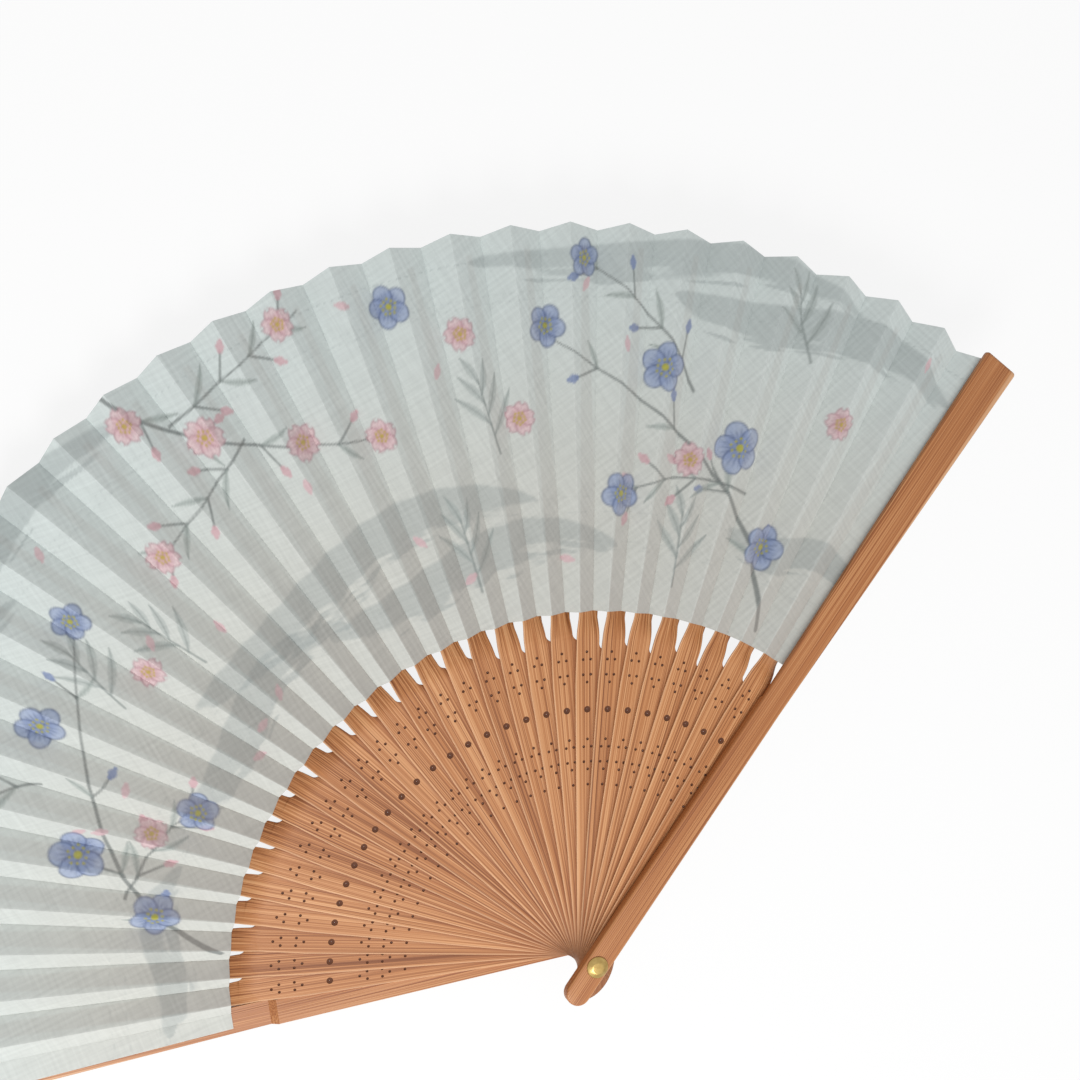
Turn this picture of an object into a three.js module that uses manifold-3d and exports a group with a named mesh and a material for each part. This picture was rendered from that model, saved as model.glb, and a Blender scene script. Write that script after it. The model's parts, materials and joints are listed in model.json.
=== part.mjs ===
// A bamboo folding fan, open, lying on its rear guard. Millimetres, +Z up.
// The origin is on the pivot axis, at the underside of the rivet. +Y runs along the middle of the open fan.
// Sticks are counted from the rear guard (0, left and lowest) through the ribs to the front guard (right, on top).

import * as THREE from 'three';
import { mergeVertices } from 'three/addons/utils/BufferGeometryUtils.js';
import Module from 'manifold-3d';

const wasm = await Module();
wasm.setup();

// The whole fan
const RIB_COUNT = 28;
const STICK_PITCH_DEG = 4.6;
const STACK_GAP = 0.05;

// Pivot
const SHAFT_RADIUS = 1.3;
const SHAFT_CLEARANCE = 0.08;
const PIVOT_SIDES = 16;
const HEAD_RADIUS = 3;
const HEAD_FLAT_RADIUS = 1.6;
const HEAD_HEIGHT = 1;

// Ribs: a flat pierced handle, then a slim strip that turns to lie under its cloth panel
const RIB_THICKNESS = 0.55;
const STRIP_THICKNESS = 0.36;
const RIB_TAIL = 11;
const TAIL_ROUND = 3.3;
const HANDLE_LEFT = 3.2;
const HANDLE_RIGHT = 3.6;
const SHOULDER_LENGTH = 2;
const NECK_LENGTH = 10;
const NECK_LEFT = 3;
const NECK_RIGHT = 2.3;
const LEAF_EDGE_LEFT = 2.55;
const LEAF_EDGE_RIGHT = 3.2;
const STRIP_TIP_HALF_WIDTH = 1.05;
const STRIP_TIP_SETBACK = 6;

// Piercings in each rib, placed on its centre line by their distance below the shoulder
const LARGE_HOLE_RADIUS = 0.85;
const LARGE_HOLE_DROP = 14.5;
const LARGE_HOLE_SIDES = 8;
const SMALL_HOLE_RADIUS = 0.4;
const SMALL_HOLE_SIDES = 5;
const ROSETTE_LENGTH = 8.2;
const ROSETTE_WIDTH = 2.1;
const UPPER_ROSETTE_DROP = 3;
const LOWER_ROSETTE_DROP = 26.7;
const SINGLE_HOLE_DROP = 35;

// Guards
const GUARD_THICKNESS = 3;
const GUARD_TIP = 199;
const GUARD_TAIL = 12;
const GUARD_HANDLE_WIDTH = 6.9;
const GUARD_TIP_WIDTH = 11.1;
const GUARD_EDGE_ROUND = 0.7;
const GUARD_CORNER_ROUND = 1;
const GUARD_RELIEF = 1.4;

// Leaf: pleats whose creases rise and fall about the ribs, deeper towards the rim
const LEAF_INNER = 95.5;
const LEAF_RIM = 197;
const VALLEY_SETBACK = 0.8;
const CLOTH_THICKNESS = 0.2;
const CLOTH_GAP = 0.12;
const CREASE_GAP = 0.15;
const RIB_PANEL_DEG = 2.6;
const PLEAT_RISE_RIM = 2.4;

const BAMBOO = { color: 0xb8784c, roughness: 0.55, metalness: 0 };
const GUARD_BAMBOO = { color: 0xa86a42, roughness: 0.45, metalness: 0 };
const CLOTH = { color: 0xd3dad6, roughness: 0.9, metalness: 0 };
const BRASS = { color: 0xb59a5a, roughness: 0.35, metalness: 1 };

// Places worked out from the sizes above
const STICK_COUNT = RIB_COUNT + 2;
const RIB_PITCH = RIB_THICKNESS + STACK_GAP;
const REAR_GUARD_BOTTOM = HEAD_HEIGHT + STACK_GAP;
const REAR_GUARD_TOP = REAR_GUARD_BOTTOM + GUARD_THICKNESS;
const FIRST_RIB_MIDDLE = REAR_GUARD_TOP + STACK_GAP + RIB_THICKNESS / 2;
const FRONT_GUARD_BOTTOM = REAR_GUARD_TOP + STACK_GAP + RIB_COUNT * RIB_PITCH;
const FRONT_GUARD_TOP = FRONT_GUARD_BOTTOM + GUARD_THICKNESS;
const HOLE_RADIUS = (SHAFT_RADIUS + SHAFT_CLEARANCE) / Math.cos(Math.PI / PIVOT_SIDES);
const STRIP_TIP = LEAF_RIM - STRIP_TIP_SETBACK;
const TWIST_START = LEAF_INNER - NECK_LENGTH;
const SHOULDER_START = TWIST_START - SHOULDER_LENGTH;
const HALF_PANEL = THREE.MathUtils.degToRad(RIB_PANEL_DEG / 2);
const PANEL_TILT = Math.atan2(PLEAT_RISE_RIM, LEAF_RIM * Math.sin(HALF_PANEL));
const CLOTH_LIFT = STRIP_THICKNESS / 2 / Math.cos(PANEL_TILT) + CLOTH_GAP + CLOTH_THICKNESS / 2;
const PITCH = THREE.MathUtils.degToRad(STICK_PITCH_DEG);

const azimuth = (stick) => Math.PI / 2 + ((STICK_COUNT - 1) / 2 - stick) * PITCH;
const ribMiddle = (rib) => FIRST_RIB_MIDDLE + (rib - 1) * RIB_PITCH;
const { lerp, mapLinear, clamp, smoothstep } = THREE.MathUtils;

// How far a crease stands above or below its rib, and how far the rib turns to lie under its panel
const pleatRise = (r) => PLEAT_RISE_RIM * r / LEAF_RIM;
const ribTilt = (r) => PANEL_TILT * smoothstep(r, TWIST_START, LEAF_INNER);

// A closed slab from stations along its length. Each station has a row of top points and a row of bottom
// points, left to right, and the rows are joined by quads on top, underneath, along the sides and at both ends.
function slab(stations) {
  const columns = stations[0].top.length;
  const position = [];
  for (const { top, bottom } of stations) {
    for (const p of [...top, ...bottom]) position.push(p.x, p.y, p.z);
  }
  const at = (station, row, column) => (station * 2 + row) * columns + column;
  const index = [];
  const quad = (a, b, c, d) => index.push(a, b, c, a, c, d);
  const TOP = 0;
  const BOTTOM = 1;
  const last = stations.length - 1;
  const right = columns - 1;
  for (let s = 0; s < last; s += 1) {
    for (let c = 0; c < right; c += 1) {
      quad(at(s, TOP, c), at(s, TOP, c + 1), at(s + 1, TOP, c + 1), at(s + 1, TOP, c));
      quad(at(s, BOTTOM, c), at(s + 1, BOTTOM, c), at(s + 1, BOTTOM, c + 1), at(s, BOTTOM, c + 1));
    }
    quad(at(s, TOP, 0), at(s + 1, TOP, 0), at(s + 1, BOTTOM, 0), at(s, BOTTOM, 0));
    quad(at(s, TOP, right), at(s, BOTTOM, right), at(s + 1, BOTTOM, right), at(s + 1, TOP, right));
  }
  for (let c = 0; c < right; c += 1) {
    quad(at(0, TOP, c), at(0, BOTTOM, c), at(0, BOTTOM, c + 1), at(0, TOP, c + 1));
    quad(at(last, TOP, c), at(last, TOP, c + 1), at(last, BOTTOM, c + 1), at(last, BOTTOM, c));
  }
  const geometry = new THREE.BufferGeometry();
  geometry.setAttribute('position', new THREE.Float32BufferAttribute(position, 3));
  geometry.setIndex(index);
  return geometry;
}

function solidOf(geometry) {
  const bare = geometry.clone();
  bare.deleteAttribute('normal');
  bare.deleteAttribute('uv');
  const merged = mergeVertices(bare);
  return new wasm.Manifold(new wasm.Mesh({
    numProp: 3,
    vertProperties: new Float32Array(merged.attributes.position.array),
    triVerts: new Uint32Array(merged.index.array),
  }));
}

function geometryOf(solid) {
  const { vertProperties, triVerts } = solid.getMesh();
  const geometry = new THREE.BufferGeometry();
  geometry.setAttribute('position', new THREE.BufferAttribute(vertProperties, 3));
  geometry.setIndex(new THREE.BufferAttribute(triVerts, 1));
  geometry.computeVertexNormals();
  return geometry;
}

// A round pin right through a stick, used to cut its holes
function pin(radius, sides, along, across) {
  const length = 4 * GUARD_THICKNESS;
  const geometry = new THREE.CylinderGeometry(radius, radius, length, sides);
  geometry.rotateX(Math.PI / 2);
  geometry.translate(along, across, 0);
  return solidOf(geometry);
}

// Stations round a stick's tail, as half widths that grow like a quarter circle
function tailStations(tail, round) {
  const STEPS = 4;
  const stations = [];
  for (let step = 0; step < STEPS; step += 1) {
    const turn = (step + 0.5) / STEPS * Math.PI / 2;
    stations.push({ r: -tail + round * (1 - Math.cos(turn)), share: Math.sin(turn) });
  }
  return stations;
}

// The rib's edges, as distances to the left and right of its centre line
function ribEdges(r) {
  if (r <= TWIST_START) {
    const shoulder = clamp((r - SHOULDER_START) / SHOULDER_LENGTH, 0, 1);
    const cove = Math.sqrt(1 - (1 - shoulder) ** 2);
    return { left: lerp(HANDLE_LEFT, NECK_LEFT, shoulder), right: lerp(HANDLE_RIGHT, NECK_RIGHT, cove) };
  }
  if (r <= LEAF_INNER) {
    return {
      left: mapLinear(r, TWIST_START, LEAF_INNER, NECK_LEFT, LEAF_EDGE_LEFT),
      right: mapLinear(r, TWIST_START, LEAF_INNER, NECK_RIGHT, LEAF_EDGE_RIGHT),
    };
  }
  return {
    left: mapLinear(r, LEAF_INNER, STRIP_TIP, LEAF_EDGE_LEFT, STRIP_TIP_HALF_WIDTH),
    right: mapLinear(r, LEAF_INNER, STRIP_TIP, LEAF_EDGE_RIGHT, STRIP_TIP_HALF_WIDTH),
  };
}

function ribStation(r, share = 1) {
  const { left, right } = ribEdges(r);
  const tilt = ribTilt(r);
  const thinned = smoothstep(r, TWIST_START, LEAF_INNER);
  const half = lerp(RIB_THICKNESS, STRIP_THICKNESS, thinned) / 2;
  const point = (across, up) => new THREE.Vector3(
    r,
    across * Math.cos(tilt) - up * Math.sin(tilt),
    across * Math.sin(tilt) + up * Math.cos(tilt),
  );
  return {
    top: [point(left * share, half), point(-right * share, half)],
    bottom: [point(left * share, -half), point(-right * share, -half)],
  };
}

function ribGeometry() {
  const SHOULDER_STEPS = 4;
  const TWIST_STEPS = 3;
  const stations = tailStations(RIB_TAIL, TAIL_ROUND).map(({ r, share }) => ribStation(r, share));
  stations.push(ribStation(TAIL_ROUND - RIB_TAIL));
  for (let step = 0; step < SHOULDER_STEPS; step += 1) {
    const turn = step / SHOULDER_STEPS * Math.PI / 2;
    stations.push(ribStation(SHOULDER_START + SHOULDER_LENGTH * (1 - Math.cos(turn))));
  }
  for (let step = 0; step < TWIST_STEPS; step += 1) {
    stations.push(ribStation(lerp(TWIST_START, LEAF_INNER, step / TWIST_STEPS)));
  }
  stations.push(ribStation(LEAF_INNER), ribStation(STRIP_TIP));
  let rib = solidOf(slab(stations));
  rib = rib.subtract(pin(HOLE_RADIUS, PIVOT_SIDES, 0, 0));
  rib = rib.subtract(pin(LARGE_HOLE_RADIUS, LARGE_HOLE_SIDES, SHOULDER_START - LARGE_HOLE_DROP, 0));
  rib = rib.subtract(pin(SMALL_HOLE_RADIUS, SMALL_HOLE_SIDES, SHOULDER_START - SINGLE_HOLE_DROP, 0));
  const ROSETTE_HOLES = 6;
  const WIDEST_TURN = Math.PI * 2 / ROSETTE_HOLES;
  for (const drop of [UPPER_ROSETTE_DROP, LOWER_ROSETTE_DROP]) {
    for (let hole = 0; hole < ROSETTE_HOLES; hole += 1) {
      const turn = hole * WIDEST_TURN;
      const along = SHOULDER_START - drop + ROSETTE_LENGTH / 2 * Math.cos(turn);
      const across = ROSETTE_WIDTH / 2 * Math.sin(turn) / Math.sin(WIDEST_TURN);
      rib = rib.subtract(pin(SMALL_HOLE_RADIUS, SMALL_HOLE_SIDES, along, across));
    }
  }
  return geometryOf(rib);
}

// A guard, built with its outer face down at z = 0 and its inner face up, hollowed where the leaf folds
function guardStation(r, share = 1) {
  const spread = clamp(mapLinear(r, SHOULDER_START, GUARD_TIP, 0, 1), 0, 1);
  const half = lerp(GUARD_HANDLE_WIDTH, GUARD_TIP_WIDTH, spread) / 2 * share;
  const inner = GUARD_THICKNESS - GUARD_RELIEF * smoothstep(r, SHOULDER_START, TWIST_START);
  const flat = half - GUARD_EDGE_ROUND * share;
  const point = (across, up) => new THREE.Vector3(r, across, up);
  return {
    top: [point(half, inner), point(flat, inner), point(-flat, inner), point(-half, inner)],
    bottom: [point(half, GUARD_EDGE_ROUND), point(flat, 0), point(-flat, 0), point(-half, GUARD_EDGE_ROUND)],
  };
}

function guardGeometry() {
  const stations = tailStations(GUARD_TAIL, TAIL_ROUND).map(({ r, share }) => guardStation(r, share));
  const cornerShare = 1 - GUARD_CORNER_ROUND / (GUARD_TIP_WIDTH / 2);
  const plain = [TAIL_ROUND - GUARD_TAIL, SHOULDER_START, (SHOULDER_START + TWIST_START) / 2, TWIST_START];
  stations.push(...plain.map((r) => guardStation(r)));
  stations.push(guardStation(GUARD_TIP - GUARD_CORNER_ROUND));
  stations.push(guardStation(GUARD_TIP, cornerShare));
  const hole = pin(HOLE_RADIUS, PIVOT_SIDES, 0, 0);
  return geometryOf(solidOf(slab(stations)).subtract(hole));
}

// The pin through all the sticks, headed at both ends
function rivetGeometry() {
  const DOME_STEPS = 3;
  const top = FRONT_GUARD_TOP + STACK_GAP;
  const dome = (base, direction) => {
    const points = [];
    for (let step = 0; step <= DOME_STEPS; step += 1) {
      const turn = step / DOME_STEPS * Math.PI / 2;
      const radius = HEAD_FLAT_RADIUS + (HEAD_RADIUS - HEAD_FLAT_RADIUS) * Math.cos(turn);
      points.push(new THREE.Vector2(radius, base + direction * HEAD_HEIGHT * Math.sin(turn)));
    }
    return points;
  };
  const profile = [
    new THREE.Vector2(0, 0),
    ...dome(HEAD_HEIGHT, -1).reverse(),
    new THREE.Vector2(SHAFT_RADIUS, HEAD_HEIGHT),
    new THREE.Vector2(SHAFT_RADIUS, top),
    ...dome(top, 1),
    new THREE.Vector2(0, top + HEAD_HEIGHT),
  ];
  const geometry = new THREE.LatheGeometry(profile, PIVOT_SIDES);
  geometry.rotateX(Math.PI / 2);
  return geometryOf(solidOf(geometry));
}

// The height of the leaf's crease on the left (peak) or right (valley) of a stick's panel, at radius r
function peakHeight(stick, r) {
  if (stick === STICK_COUNT - 1) return FRONT_GUARD_BOTTOM + GUARD_RELIEF - CLOTH_GAP - CLOTH_THICKNESS / 2;
  if (stick === 0) return valleyHeight(stick, r);
  return ribMiddle(stick) + CLOTH_LIFT + pleatRise(r);
}

function valleyHeight(stick, r) {
  if (stick === 0) return REAR_GUARD_TOP - GUARD_RELIEF + CLOTH_GAP + CLOTH_THICKNESS / 2;
  return ribMiddle(stick) + CLOTH_LIFT - pleatRise(r);
}

// One pleat: the panel over a stick and the free panel that climbs to the next stick's peak
function pleatGeometry(stick) {
  const station = (peakAt, valleyAt) => {
    const seam = CREASE_GAP / 2 / peakAt;
    const corners = [
      [HALF_PANEL - seam, peakAt, peakHeight(stick, peakAt)],
      [-HALF_PANEL, valleyAt, valleyHeight(stick, valleyAt)],
      [HALF_PANEL - PITCH + seam, peakAt, peakHeight(stick + 1, peakAt)],
    ];
    const row = (lift) => corners.map(([turn, r, height]) => (
      new THREE.Vector3(r * Math.cos(turn), r * Math.sin(turn), height + lift)
    ));
    return { top: row(CLOTH_THICKNESS / 2), bottom: row(-CLOTH_THICKNESS / 2) };
  };
  return slab([station(LEAF_INNER, LEAF_INNER), station(LEAF_RIM, LEAF_RIM - VALLEY_SETBACK)]);
}

function piece(name, geometry, look) {
  const mesh = new THREE.Mesh(geometry, new THREE.MeshStandardMaterial(look));
  mesh.name = name;
  return mesh;
}

const twoDigits = (number) => String(number).padStart(2, '0');
const fan = new THREE.Group();
fan.name = 'folding_fan';

const guardShape = guardGeometry();
const rearGuard = piece('guard_rear', guardShape, GUARD_BAMBOO);
rearGuard.rotation.z = azimuth(0);
rearGuard.position.z = REAR_GUARD_BOTTOM;
fan.add(rearGuard);

const ribShape = ribGeometry();
for (let rib = 1; rib <= RIB_COUNT; rib += 1) {
  const mesh = piece(`rib_${twoDigits(rib)}`, ribShape, BAMBOO);
  mesh.rotation.z = azimuth(rib);
  mesh.position.z = ribMiddle(rib);
  fan.add(mesh);
}

// The front guard is the same stick turned over, so that its outer face is up
const frontGuard = piece('guard_front', guardShape, GUARD_BAMBOO);
const frontHolder = new THREE.Group();
frontHolder.rotation.z = azimuth(STICK_COUNT - 1);
frontHolder.position.z = FRONT_GUARD_TOP;
frontGuard.rotation.x = Math.PI;
frontHolder.add(frontGuard);
fan.add(frontHolder);

for (let stick = 0; stick <= RIB_COUNT; stick += 1) {
  const mesh = piece(`leaf_pleat_${twoDigits(stick)}`, pleatGeometry(stick), CLOTH);
  mesh.rotation.z = azimuth(stick);
  fan.add(mesh);
}

fan.add(piece('pivot_rivet', rivetGeometry(), BRASS));

export default fan;
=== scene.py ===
import json
import math

import bmesh
import bpy
import numpy as np
from mathutils import Matrix, Vector


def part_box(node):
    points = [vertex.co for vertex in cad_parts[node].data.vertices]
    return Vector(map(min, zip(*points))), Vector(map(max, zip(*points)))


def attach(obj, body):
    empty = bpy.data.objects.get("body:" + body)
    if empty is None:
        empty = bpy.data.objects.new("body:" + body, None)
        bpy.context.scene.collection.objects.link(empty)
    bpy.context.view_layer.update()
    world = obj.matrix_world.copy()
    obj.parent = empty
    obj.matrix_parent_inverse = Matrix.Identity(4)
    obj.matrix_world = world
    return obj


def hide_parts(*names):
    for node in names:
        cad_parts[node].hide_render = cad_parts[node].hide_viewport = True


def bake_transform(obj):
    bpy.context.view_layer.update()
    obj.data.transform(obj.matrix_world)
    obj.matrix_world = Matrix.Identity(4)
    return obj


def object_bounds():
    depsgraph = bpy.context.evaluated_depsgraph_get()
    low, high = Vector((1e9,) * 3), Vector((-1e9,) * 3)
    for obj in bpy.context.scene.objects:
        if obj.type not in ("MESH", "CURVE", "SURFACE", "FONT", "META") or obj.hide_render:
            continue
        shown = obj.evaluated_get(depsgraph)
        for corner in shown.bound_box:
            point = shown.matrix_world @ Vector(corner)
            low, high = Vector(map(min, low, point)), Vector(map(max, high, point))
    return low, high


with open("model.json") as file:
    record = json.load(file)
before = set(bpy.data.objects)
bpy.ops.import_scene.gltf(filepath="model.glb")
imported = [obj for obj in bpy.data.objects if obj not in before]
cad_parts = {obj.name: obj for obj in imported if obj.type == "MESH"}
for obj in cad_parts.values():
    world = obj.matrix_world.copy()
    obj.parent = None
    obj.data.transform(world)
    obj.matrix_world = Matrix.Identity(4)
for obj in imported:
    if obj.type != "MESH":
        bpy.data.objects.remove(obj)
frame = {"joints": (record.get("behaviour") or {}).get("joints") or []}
cad_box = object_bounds()

# Rear guard
# The thick outer stick at the left end of the open fan, the lowest of the stack. It is split from an old
# bamboo culm, shaved flat, rounded along its outer edges and rubbed with oil until it is brown.
MM = 0.001
RIB_COUNT = 28
FRONT_STICK = RIB_COUNT + 1
STICK_PITCH = math.radians(frame["joints"][0]["range_deg"][1])
LEAF_INNER = 95.5 * MM
NECK_LENGTH = 10 * MM
SHOULDER_LENGTH = 2 * MM
PIVOT_HOLE_RADIUS = 1.4 * MM
PIVOT_HOLE_SIDES = 24
TAIL_ROUND = 3.3 * MM
GUARD_TIP = 199 * MM
GUARD_TAIL = 12 * MM
GUARD_HANDLE_WIDTH = 6.9 * MM
GUARD_TIP_WIDTH = 11.1 * MM
GUARD_RELIEF = 1.4 * MM
GUARD_EDGE_ROUND = 0.7 * MM
GUARD_CORNER_ROUND = 1 * MM
FINE_EDGE = 0.15 * MM
SHARP_ANGLE = 1  # radians between the faces of an edge that gets rounded

twist_start = LEAF_INNER - NECK_LENGTH
shoulder_start = twist_start - SHOULDER_LENGTH
rear_low, rear_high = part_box("guard_rear")
guard_thickness = rear_high.z - rear_low.z


def azimuth(stick):
    """A stick's direction from the pivot: the rear guard is stick 0, at the left."""
    return math.pi / 2 + (FRONT_STICK / 2 - stick) * STICK_PITCH


def linear(hex_colour):
    """An sRGB hex colour as the linear numbers that the shaders use."""
    values = [int(hex_colour[i:i + 2], 16) / 255 for i in (1, 3, 5)]
    return [v / 12.92 if v <= 0.04045 else ((v + 0.055) / 1.055) ** 2.4 for v in values] + [1.0]


def set_inputs(material, node, inputs):
    """Sets a node's inputs, each to a value or to another node's output."""
    for socket, value in inputs.items():
        if isinstance(value, bpy.types.NodeSocket):
            material.node_tree.links.new(value, node.inputs[socket])
        else:
            node.inputs[socket].default_value = value


def add_node(material, kind, inputs=None, **settings):
    """A node with its settings, and its inputs as values or as other nodes' outputs."""
    node = material.node_tree.nodes.new(kind)
    for name, value in settings.items():
        setattr(node, name, value)
    set_inputs(material, node, inputs or {})
    return node


def new_material(name):
    """An empty material with its Principled shader."""
    material = bpy.data.materials.new(name)
    material.use_nodes = True
    return material, material.node_tree.nodes["Principled BSDF"]


# A Mix node has sockets for numbers and vectors too. These are its two colours and the colour it gives.
COLOUR_A = 6
COLOUR_B = 7
MIXED_COLOUR = 2


def bamboo(name, dark, middle, light, cut_edge_mm, roughness, neck_mm=None):
    """Oiled split bamboo: straight fibres run the whole length of the stick, dark bundles among pale ones,
    in drifts of tone. The shaved face keeps fine lengthwise ridges. Near the cut edge given by cut_edge_mm
    the face is painted paler: a painted highlight for the light that the edge catches. A rib's edge is
    drawn in at its neck, given as where that starts and ends and how far. Where the next rib covers it,
    the edge of the covered part is darkened with painted shade, for the shadow of the rib on top."""
    FIBRE_MM = 0.27
    FIBRE_LENGTH_MM = 90
    DRIFT_WIDTH_MM = 2.5
    DRIFT_LENGTH_MM = 200
    FIBRE_SHARE = 0.8
    DRIFT_SHARE = 0.2
    DARK_AT = 0.34
    MIDDLE_AT = 0.5
    LIGHT_AT = 0.66
    HIGHLIGHT_START_MM = 0.45
    HIGHLIGHT_FULL_MM = 0.15
    HIGHLIGHT_SHARE = 0.6
    HIGHLIGHT_COLOUR = "#E8B98E"
    PAINTED_SHADE_WIDTH_MM = 1.3
    PAINTED_SHADE_SHARE = 0.6
    DARK_ROUGHER = 0.12
    LIGHT_SMOOTHER = 0.08
    material, shader = new_material(name)
    place = add_node(material, "ShaderNodeAttribute", attribute_name="stick_mm").outputs["Vector"]
    seed = add_node(material, "ShaderNodeAttribute", attribute_name="stick_seed").outputs["Fac"]
    tone = add_node(material, "ShaderNodeAttribute", attribute_name="stick_tone").outputs["Fac"]
    streaks = []
    for length_mm, width_mm in ((FIBRE_LENGTH_MM, FIBRE_MM), (DRIFT_LENGTH_MM, DRIFT_WIDTH_MM)):
        drawn_out = add_node(material, "ShaderNodeMapping", {
            "Vector": place, "Scale": (1 / length_mm, 1 / width_mm, 1 / width_mm)})
        streak = add_node(material, "ShaderNodeTexNoise", {
            "Vector": drawn_out.outputs["Vector"], "W": seed, "Scale": 1.0, "Detail": 1.0},
            noise_dimensions="4D")
        streaks.append(streak.outputs["Fac"])
    fibres, drifts = streaks
    grain = add_node(material, "ShaderNodeMath", {
        0: fibres, 1: FIBRE_SHARE, 2: tone}, operation="MULTIPLY_ADD")
    grain = add_node(material, "ShaderNodeMath", {
        0: drifts, 1: DRIFT_SHARE, 2: grain.outputs["Value"]}, operation="MULTIPLY_ADD")
    tones = add_node(material, "ShaderNodeValToRGB", {"Fac": grain.outputs["Value"]})
    ramp = tones.color_ramp
    ramp.elements[0].position = DARK_AT
    ramp.elements[0].color = linear(dark)
    ramp.elements[1].position = LIGHT_AT
    ramp.elements[1].color = linear(light)
    ramp.elements.new(MIDDLE_AT).color = linear(middle)
    split = add_node(material, "ShaderNodeSeparateXYZ", {"Vector": place})
    side = split.outputs["Y"]
    if neck_mm:
        neck_start, neck_end, neck_depth = neck_mm
        drawn_in = add_node(material, "ShaderNodeMapRange", {
            "Value": split.outputs["X"], "From Min": neck_start, "From Max": neck_end, "To Max": neck_depth})
        side = add_node(material, "ShaderNodeMath", {
            0: side, 1: drawn_in.outputs["Result"]}, operation="ADD").outputs["Value"]
    # Painted highlight: the face is painted paler near the cut edge, for the light that the edge catches.
    cut = add_node(material, "ShaderNodeMapRange", {
        "Value": side, "From Min": cut_edge_mm - HIGHLIGHT_START_MM, "From Max": cut_edge_mm - HIGHLIGHT_FULL_MM,
        "To Max": HIGHLIGHT_SHARE})
    face = add_node(material, "ShaderNodeMix", {
        "Factor": cut.outputs["Result"], COLOUR_A: tones.outputs["Color"], COLOUR_B: linear(HIGHLIGHT_COLOUR)},
        data_type="RGBA")
    if neck_mm:
        # Painted shade: the part of the rib that the next rib covers is darkened along that rib's edge, for
        # the shadow that the rib on top casts.
        beside = add_node(material, "ShaderNodeMath", {
            0: split.outputs["X"], 1: math.sin(STICK_PITCH), 2: side}, operation="MULTIPLY_ADD")
        painted_shade = add_node(material, "ShaderNodeMapRange", {
            "Value": beside.outputs["Value"], "From Min": cut_edge_mm,
            "From Max": cut_edge_mm + PAINTED_SHADE_WIDTH_MM, "To Min": PAINTED_SHADE_SHARE, "To Max": 0.0},
            interpolation_type="SMOOTHSTEP")
        face = add_node(material, "ShaderNodeMix", {
            "Factor": painted_shade.outputs["Result"], COLOUR_A: face.outputs[MIXED_COLOUR],
            COLOUR_B: linear(dark)}, data_type="RGBA")
    rough = add_node(material, "ShaderNodeMapRange", {
        "Value": grain.outputs["Value"], "To Min": roughness + DARK_ROUGHER,
        "To Max": roughness - LIGHT_SMOOTHER})
    bump = add_node(material, "ShaderNodeBump", {"Height": fibres, "Strength": 0.6, "Distance": 0.15 * MM})
    set_inputs(material, shader, {
        "Base Color": face.outputs[MIXED_COLOUR], "Roughness": rough.outputs["Result"],
        "Normal": bump.outputs["Normal"], "IOR": 1.5})
    return material


def outline_of(corners):
    """A bmesh of one closed ring of edges through the corners, each a place and the round that it gets."""
    bm = bmesh.new()
    verts = [bm.verts.new((along, across, 0)) for along, across, _ in corners]
    for first, second in zip(verts, verts[1:] + verts[:1]):
        bm.edges.new((first, second))
    for vert, (_, _, rounding) in zip(verts, corners):
        if rounding:
            bmesh.ops.bevel(bm, geom=[vert], offset=rounding, affect="VERTICES", segments=8, profile=0.5,
                            material=-1)
    return bm


def fill_plate(bm, holes):
    """Fills an outline on z = 0 but for round holes, each given as its place, radius and number of sides."""
    for along, across, radius, sides in holes:
        bmesh.ops.create_circle(bm, segments=sides, radius=radius,
                                matrix=Matrix.Translation((along, across, 0)))
    bmesh.ops.triangle_fill(bm, edges=bm.edges[:], use_beauty=True)


def note_grain(bm):
    """Keeps each point's place along and across its stick, in mm, for the grain to follow."""
    grain_place = bm.verts.layers.float_vector.new("stick_mm")
    for vert in bm.verts:
        vert[grain_place] = vert.co / MM


def place_stick(bm, name, stick, height, material, seed, tone):
    """Makes a stick's mesh, gives its grain a seed and a tone of its own, and swings it into place."""
    SMOOTH_BELOW = math.radians(20)
    bmesh.ops.recalc_face_normals(bm, faces=bm.faces[:])
    mesh = bpy.data.meshes.new(name)
    bm.to_mesh(mesh)
    bm.free()
    for attribute, value in (("stick_seed", seed), ("stick_tone", tone)):
        values = np.full(len(mesh.vertices), value, np.float32)
        mesh.attributes.new(attribute, "FLOAT", "POINT").data.foreach_set("value", values)
    mesh.shade_smooth()
    mesh.set_sharp_from_angle(angle=SMOOTH_BELOW)
    mesh.transform(Matrix.Translation((0, 0, height)) @ Matrix.Rotation(azimuth(stick), 4, "Z"))
    piece = bpy.data.objects.new(name, mesh)
    bpy.context.scene.collection.objects.link(piece)
    piece.data.materials.append(material)
    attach(piece, f"stick_{stick:02d}")
    return piece


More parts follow.
